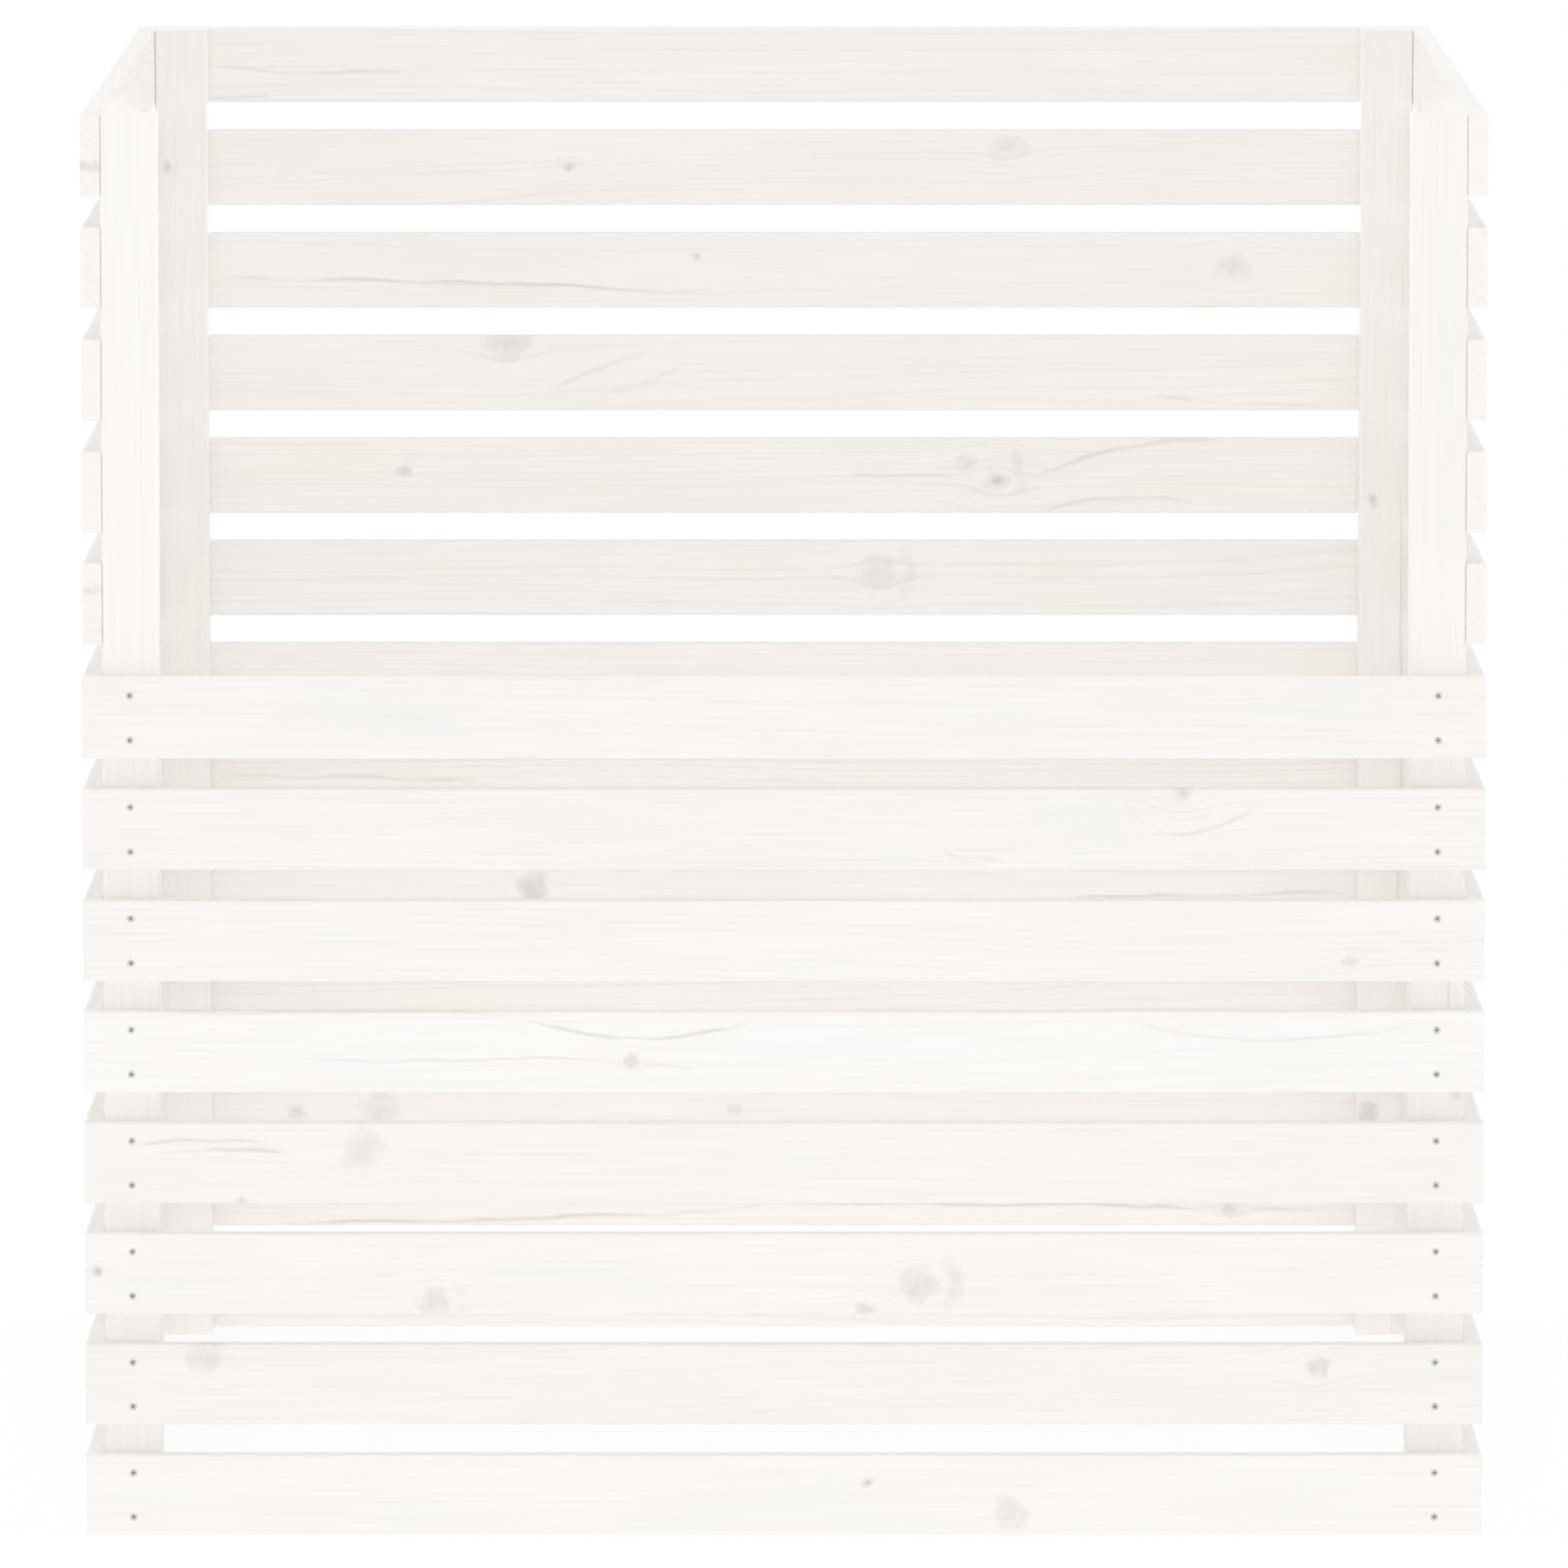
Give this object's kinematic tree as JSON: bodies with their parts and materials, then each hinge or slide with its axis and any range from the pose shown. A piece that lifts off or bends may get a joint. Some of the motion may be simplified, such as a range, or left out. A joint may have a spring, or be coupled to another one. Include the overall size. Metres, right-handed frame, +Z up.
{
  "type": "compost bin",
  "caption": "Square slatted wooden compost bin with corner posts, open top and bottom, and a low front wall for filling and emptying.",
  "frame": {"origin": "on the ground, in the middle of the bin's square footprint", "axes": "+Z up, low front wall towards -Y, +X to the right as seen from the front"},
  "size_m": [1, 1, 1.018],
  "materials": {
    "white_stained_pine": "planed pine with a thin white stain that lets grain and knots show",
    "zinc_plated_screws": "dull zinc-plated countersunk wood screws"
  },
  "bodies": {
    "root": {"front_left_post": "white_stained_pine", "front_right_post": "white_stained_pine", "back_left_post": "white_stained_pine", "back_right_post": "white_stained_pine", "front_slat_01": "white_stained_pine", "front_slat_02": "white_stained_pine", "front_slat_03": "white_stained_pine", "front_slat_04": "white_stained_pine", "front_slat_05": "white_stained_pine", "front_slat_06": "white_stained_pine", "front_slat_07": "white_stained_pine", "front_slat_08": "white_stained_pine", "back_slat_01": "white_stained_pine", "back_slat_02": "white_stained_pine", "back_slat_03": "white_stained_pine", "back_slat_04": "white_stained_pine", "back_slat_05": "white_stained_pine", "back_slat_06": "white_stained_pine", "back_slat_07": "white_stained_pine", "back_slat_08": "white_stained_pine", "back_slat_09": "white_stained_pine", "back_slat_10": "white_stained_pine", "back_slat_11": "white_stained_pine", "back_slat_12": "white_stained_pine", "back_slat_13": "white_stained_pine", "left_slat_01": "white_stained_pine", "left_slat_02": "white_stained_pine", "left_slat_03": "white_stained_pine", "left_slat_04": "white_stained_pine", "left_slat_05": "white_stained_pine", "left_slat_06": "white_stained_pine", "left_slat_07": "white_stained_pine", "left_slat_08": "white_stained_pine", "left_slat_09": "white_stained_pine", "left_slat_10": "white_stained_pine", "left_slat_11": "white_stained_pine", "left_slat_12": "white_stained_pine", "left_slat_13": "white_stained_pine", "right_slat_01": "white_stained_pine", "right_slat_02": "white_stained_pine", "right_slat_03": "white_stained_pine", "right_slat_04": "white_stained_pine", "right_slat_05": "white_stained_pine", "right_slat_06": "white_stained_pine", "right_slat_07": "white_stained_pine", "right_slat_08": "white_stained_pine", "right_slat_09": "white_stained_pine", "right_slat_10": "white_stained_pine", "right_slat_11": "white_stained_pine", "right_slat_12": "white_stained_pine", "right_slat_13": "white_stained_pine", "front_screws": "zinc_plated_screws", "back_screws": "zinc_plated_screws", "left_screws": "zinc_plated_screws", "right_screws": "zinc_plated_screws"}
  },
  "joints": []
}
